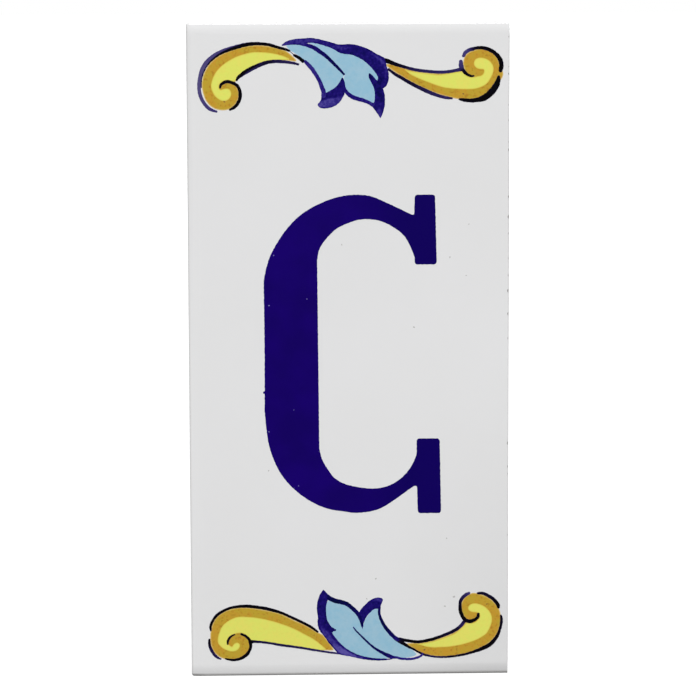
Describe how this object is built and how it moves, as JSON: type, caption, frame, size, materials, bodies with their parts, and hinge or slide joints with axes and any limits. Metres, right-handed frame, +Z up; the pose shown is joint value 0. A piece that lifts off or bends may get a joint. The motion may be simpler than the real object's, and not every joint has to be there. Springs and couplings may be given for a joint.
{
  "type": "ceramic letter tile",
  "caption": "Upright glazed earthenware wall tile with a painted capital letter between scroll and leaf borders, for spelling house names and numbers.",
  "frame": {"origin": "centre of the back face, on the plane that is bonded to the wall", "axes": "+Z up the tile as it hangs, +X to the right as the face is read, +Y into the wall, so the glazed face looks along -Y"},
  "size_m": [0.073, 0.008, 0.15],
  "materials": {
    "white_glaze": "gloss",
    "cobalt_enamel": "gloss",
    "black_enamel": "gloss",
    "pale_blue_enamel": "gloss",
    "yellow_enamel": "gloss",
    "ochre_enamel": "gloss"
  },
  "bodies": {
    "root": {"tile": "white_glaze"}
  },
  "joints": []
}
